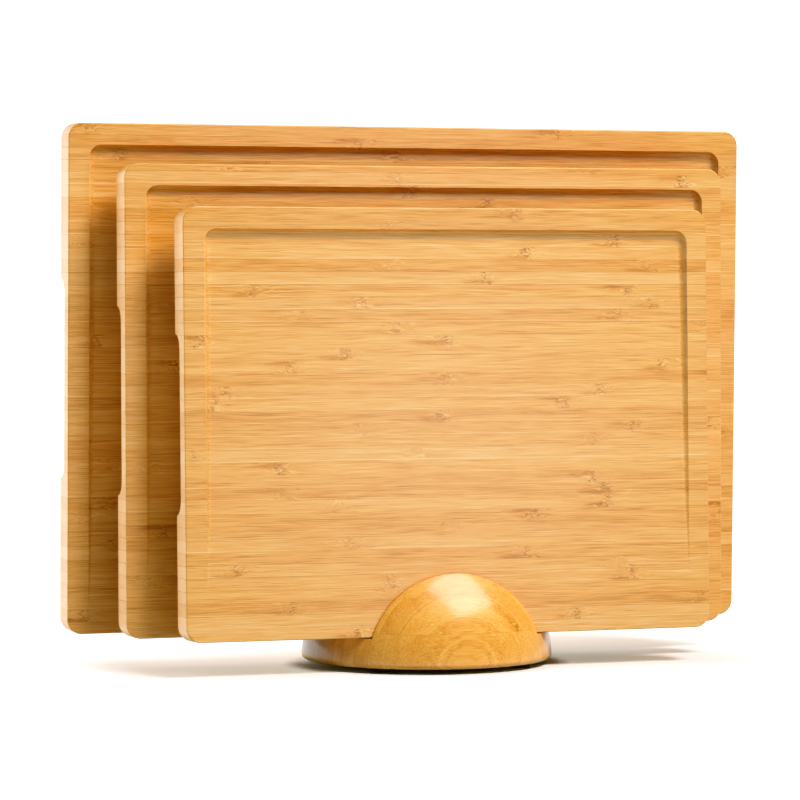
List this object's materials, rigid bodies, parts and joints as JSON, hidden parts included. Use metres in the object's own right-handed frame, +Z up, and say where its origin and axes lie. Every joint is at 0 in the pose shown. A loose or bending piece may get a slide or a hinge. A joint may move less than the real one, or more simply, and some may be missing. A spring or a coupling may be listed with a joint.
{
  "type": "cutting board set with holder",
  "caption": "Bamboo cutting boards of graded size with a sloping recess and finger grips, standing on edge in a half-round slotted holder.",
  "frame": {"origin": "on the table, below the centre of the half-round holder", "axes": "+Z up, +X along the boards and slots, -Y towards the front, where the small board stands"},
  "size_m": [0.432, 0.152, 0.3259],
  "materials": {
    "board_bamboo": "satin oiled bamboo, strips side by side",
    "holder_bamboo": "gloss lacquered bamboo, glued layers",
    "foot_rubber": "matte black"
  },
  "bodies": {
    "holder": {"holder_base": "holder_bamboo", "front_cheek_lower": "holder_bamboo", "front_cheek_upper": "holder_bamboo", "front_divider_lower": "holder_bamboo", "front_divider_middle": "holder_bamboo", "front_divider_top": "holder_bamboo", "rear_divider_lower": "holder_bamboo", "rear_divider_middle": "holder_bamboo", "rear_divider_top": "holder_bamboo", "rear_cheek_lower": "holder_bamboo", "rear_cheek_upper": "holder_bamboo", "foot_front_left": "foot_rubber", "foot_front_right": "foot_rubber", "foot_rear_left": "foot_rubber", "foot_rear_right": "foot_rubber"},
    "large_board": {"large_board": "board_bamboo"},
    "medium_board": {"medium_board": "board_bamboo"},
    "small_board": {"small_board": "board_bamboo"}
  },
  "joints": [
    {"name": "large_board_lift", "type": "slide", "parent": "holder", "child": "large_board", "axis": [0, -0.0209, 0.9998], "range_m": [0, 0.08]},
    {"name": "medium_board_lift", "type": "slide", "parent": "holder", "child": "medium_board", "axis": [0, 0.0105, 0.9999], "range_m": [0, 0.08]},
    {"name": "small_board_lift", "type": "slide", "parent": "holder", "child": "small_board", "axis": [0, 0.0297, 0.9996], "range_m": [0, 0.08]}
  ]
}
